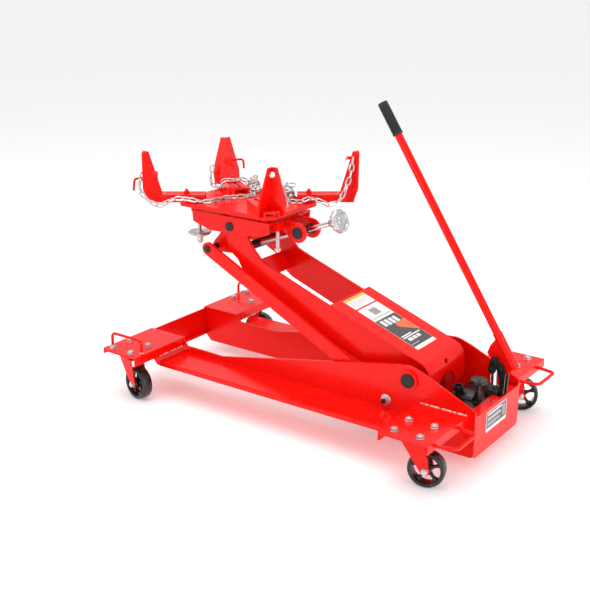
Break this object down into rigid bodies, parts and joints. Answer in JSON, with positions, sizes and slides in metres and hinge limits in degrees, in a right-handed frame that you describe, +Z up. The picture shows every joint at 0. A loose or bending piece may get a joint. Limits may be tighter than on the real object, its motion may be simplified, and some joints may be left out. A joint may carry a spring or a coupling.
{
  "type": "transmission jack",
  "caption": "Low rolling hydraulic jack with a hinged lift arm, a self-levelling tilting saddle, sliding corner arms with chains, swivel casters and a pump handle.",
  "frame": {"origin": "on the floor, under the middle of the overall box, on the plane midway between the two side rails", "axes": "+X towards the pump handle (rear), +Y towards the far side rail, +Z up"},
  "size_m": [1.204, 0.722, 0.9311],
  "materials": {
    "red_paint": "gloss",
    "black_paint": "satin",
    "black_oxide": "satin black oxide",
    "zinc": "bright zinc plate",
    "chrome": "polished",
    "cast_zinc": "tumbled die casting",
    "wheel_iron": "satin black paint",
    "grip_rubber": "matt"
  },
  "bodies": {
    "frame": {"rail_near": "red_paint", "rail_far": "red_paint", "front_crossmember": "red_paint", "rear_panel": "red_paint", "pump_tray": "red_paint", "deck_front_near": "red_paint", "deck_front_far": "red_paint", "deck_rear_near": "red_paint", "deck_rear_far": "red_paint", "caster_plate_front_near": "zinc", "caster_plate_front_far": "zinc", "caster_plate_rear_near": "zinc", "caster_plate_rear_far": "zinc", "main_shaft": "black_oxide", "pump_block": "black_paint", "ram_cylinder": "black_paint", "pump_barrel": "black_paint", "filler_plug": "black_oxide"},
    "lift_arm": {"lift_arm_near": "red_paint", "lift_arm_far": "red_paint", "arm_cover": "red_paint", "arm_cross_plate": "red_paint", "ram_lever": "red_paint", "head_pin": "black_oxide"},
    "ram_roller": {"ram_roller": "zinc"},
    "parallel_links": {"parallel_link_near": "red_paint", "parallel_link_far": "red_paint"},
    "head_bracket": {"head_bracket": "red_paint", "link_tie_pin": "black_oxide"},
    "tilt_channel": {"tilt_channel": "red_paint"},
    "nut_trunnion": {"tilt_nut_trunnion": "black_oxide"},
    "ear_barrel": {"tilt_ear_barrel": "black_oxide"},
    "tilt_screw": {"tilt_screw": "chrome"},
    "tilt_knob": {"tilt_knob": "cast_zinc"},
    "side_screw": {"side_tilt_screw": "zinc"},
    "side_knob": {"side_tilt_knob": "cast_zinc"},
    "saddle": {"saddle_plate": "red_paint", "side_tilt_pin": "zinc", "chain_left": "zinc", "chain_right": "zinc", "chain_back": "zinc"},
    "corner_left": {"corner_arm_left": "red_paint"},
    "corner_front": {"corner_arm_front": "red_paint"},
    "corner_right": {"corner_arm_right": "red_paint"},
    "corner_back": {"corner_arm_back": "red_paint"},
    "ram_piston": {"ram_piston": "chrome"},
    "pump_handle": {"handle_lever": "red_paint", "handle_tube": "red_paint", "handle_grip": "grip_rubber"},
    "pump_link": {"pump_link": "black_paint"},
    "pump_plunger": {"pump_plunger": "chrome"},
    "release_valve": {"release_knob": "black_paint"},
    "swivel_front_near": {"caster_fork_front_near": "red_paint"},
    "wheel_front_near": {"caster_wheel_front_near": "wheel_iron"},
    "swivel_front_far": {"caster_fork_front_far": "red_paint"},
    "wheel_front_far": {"caster_wheel_front_far": "wheel_iron"},
    "swivel_rear_near": {"caster_fork_rear_near": "red_paint"},
    "wheel_rear_near": {"caster_wheel_rear_near": "wheel_iron"},
    "swivel_rear_far": {"caster_fork_rear_far": "red_paint"},
    "wheel_rear_far": {"caster_wheel_rear_far": "wheel_iron"}
  },
  "joints": [
    {"name": "swivel_front_near", "type": "hinge", "parent": "frame", "child": "swivel_front_near", "pos_m": [-0.535, -0.2985, 0.13], "axis": [0, 0, 1], "continuous": true},
    {"name": "roll_front_near", "type": "hinge", "parent": "swivel_front_near", "child": "wheel_front_near", "pos_m": [-0.49851, -0.30625, 0.0508], "axis": [0.2079, 0.9781, 0], "continuous": true},
    {"name": "swivel_front_far", "type": "hinge", "parent": "frame", "child": "swivel_front_far", "pos_m": [-0.535, 0.2985, 0.13], "axis": [0, 0, 1], "continuous": true},
    {"name": "roll_front_far", "type": "hinge", "parent": "swivel_front_far", "child": "wheel_front_far", "pos_m": [-0.49995, 0.31126, 0.0508], "axis": [-0.342, 0.9397, 0], "continuous": true},
    {"name": "swivel_rear_near", "type": "hinge", "parent": "frame", "child": "swivel_rear_near", "pos_m": [0.465, -0.2904, 0.13], "axis": [0, 0, 1], "continuous": true},
    {"name": "roll_rear_near", "type": "hinge", "parent": "swivel_rear_near", "child": "wheel_rear_near", "pos_m": [0.50125, -0.28163, 0.0508], "axis": [-0.2351, 0.972, 0], "continuous": true},
    {"name": "swivel_rear_far", "type": "hinge", "parent": "frame", "child": "swivel_rear_far", "pos_m": [0.465, 0.2904, 0.13], "axis": [0, 0, 1], "continuous": true},
    {"name": "roll_rear_far", "type": "hinge", "parent": "swivel_rear_far", "child": "wheel_rear_far", "pos_m": [0.49923, 0.30521, 0.0508], "axis": [-0.3971, 0.9178, 0], "continuous": true},
    {"name": "lift", "type": "hinge", "parent": "frame", "child": "lift_arm", "pos_m": [0.359, 0, 0.213], "axis": [0, 1, 0], "range_deg": [-28.5, 27.5]},
    {"name": "ram_roller_spin", "type": "hinge", "parent": "lift_arm", "child": "ram_roller", "pos_m": [0.359, 0, 0.135], "axis": [0, 1, 0], "continuous": true},
    {"name": "ram_stroke", "type": "slide", "parent": "frame", "child": "ram_piston", "axis": [1, 0, 0], "range_m": [-0.0375, 0.0385]},
    {"name": "link_swing", "type": "hinge", "parent": "frame", "child": "parallel_links", "pos_m": [0.291, 0, 0.138], "axis": [0, 1, 0], "range_deg": [-28.6, 27.6]},
    {"name": "head_level", "type": "hinge", "parent": "lift_arm", "child": "head_bracket", "pos_m": [-0.289, 0, 0.537], "axis": [0, 1, 0], "range_deg": [-27.6, 28.6]},
    {"name": "fore_aft_tilt", "type": "hinge", "parent": "head_bracket", "child": "tilt_channel", "pos_m": [-0.289, 0, 0.537], "axis": [0, 1, 0], "range_deg": [-10, 7]},
    {"name": "nut_trunnion_turn", "type": "hinge", "parent": "head_bracket", "child": "nut_trunnion", "pos_m": [-0.262, 0, 0.467], "axis": [0, 1, 0], "range_deg": [-10.5, 7.5]},
    {"name": "ear_barrel_turn", "type": "hinge", "parent": "tilt_channel", "child": "ear_barrel", "pos_m": [-0.0855, 0, 0.5347], "axis": [0, 1, 0], "range_deg": [-1, 1]},
    {"name": "tilt_screw_travel", "type": "slide", "parent": "nut_trunnion", "child": "tilt_screw", "axis": [0.9337, 0, 0.3581], "range_m": [-0.0095, 0.0135]},
    {"name": "tilt_knob_turn", "type": "hinge", "parent": "tilt_screw", "child": "tilt_knob", "pos_m": [0.02557, 0, 0.5773], "axis": [0.9337, 0, 0.3581], "range_deg": [-830, 1190]},
    {"name": "side_tilt", "type": "hinge", "parent": "tilt_channel", "child": "saddle", "pos_m": [-0.3, 0, 0.5785], "axis": [1, 0, 0], "range_deg": [-5, 5]},
    {"name": "side_screw_travel", "type": "slide", "parent": "tilt_channel", "child": "side_screw", "axis": [0, 0, 1], "range_m": [-0.0045, 0.0045]},
    {"name": "side_knob_turn", "type": "hinge", "parent": "side_screw", "child": "side_knob", "pos_m": [-0.453, -0.05, 0.488], "axis": [0, 0, 1], "range_deg": [-400, 400]},
    {"name": "pump_stroke", "type": "hinge", "parent": "frame", "child": "pump_handle", "pos_m": [0.545, 0.051, 0.2328], "axis": [0, 1, 0], "range_deg": [0, 40]},
    {"name": "pump_link_turn", "type": "hinge", "parent": "pump_handle", "child": "pump_link", "pos_m": [0.5292, 0.051, 0.2537], "axis": [0, 1, 0], "range_deg": [-2.7, 0.5]},
    {"name": "plunger_stroke", "type": "slide", "parent": "frame", "child": "pump_plunger", "axis": [0, 0, 1], "range_m": [0, 0.016]},
    {"name": "release_turn", "type": "hinge", "parent": "frame", "child": "release_valve", "pos_m": [0.516, -0.031, 0.18], "axis": [0, 0, 1], "range_deg": [-90, 180]},
    {"name": "clamp_slide_left", "type": "slide", "parent": "saddle", "child": "corner_left", "axis": [-0.8107, -0.5855, 0], "range_m": [-0.025, 0.045], "deforming": ["chain_left"]},
    {"name": "clamp_slide_front", "type": "slide", "parent": "saddle", "child": "corner_front", "axis": [0.8107, -0.5855, 0], "range_m": [0, 0.065], "deforming": ["chain_right"]},
    {"name": "clamp_slide_right", "type": "slide", "parent": "saddle", "child": "corner_right", "axis": [0.8107, 0.5855, 0], "range_m": [-0.063, 0.005], "deforming": ["chain_right"]},
    {"name": "clamp_slide_back", "type": "slide", "parent": "saddle", "child": "corner_back", "axis": [-0.8107, 0.5855, 0], "range_m": [0, 0.065], "deforming": ["chain_back"]}
  ],
  "couplings": [
    {"joint": "ram_stroke", "follows": "lift", "m_per_rad": -0.0748},
    {"joint": "link_swing", "follows": "lift", "ratio": 1},
    {"joint": "head_level", "follows": "lift", "ratio": -1},
    {"joint": "nut_trunnion_turn", "follows": "fore_aft_tilt", "ratio": 0.9873},
    {"joint": "ear_barrel_turn", "follows": "fore_aft_tilt", "ratio": -0.0127},
    {"joint": "tilt_screw_travel", "follows": "fore_aft_tilt", "m_per_rad": -0.07482},
    {"joint": "tilt_knob_turn", "follows": "fore_aft_tilt", "ratio": -117.5},
    {"joint": "side_screw_travel", "follows": "side_tilt", "m_per_rad": -0.05},
    {"joint": "side_knob_turn", "follows": "side_tilt", "ratio": -78.5},
    {"joint": "pump_link_turn", "follows": "pump_stroke", "ratio": -0.055},
    {"joint": "plunger_stroke", "follows": "pump_stroke", "m_per_rad": 0.0222}
  ]
}
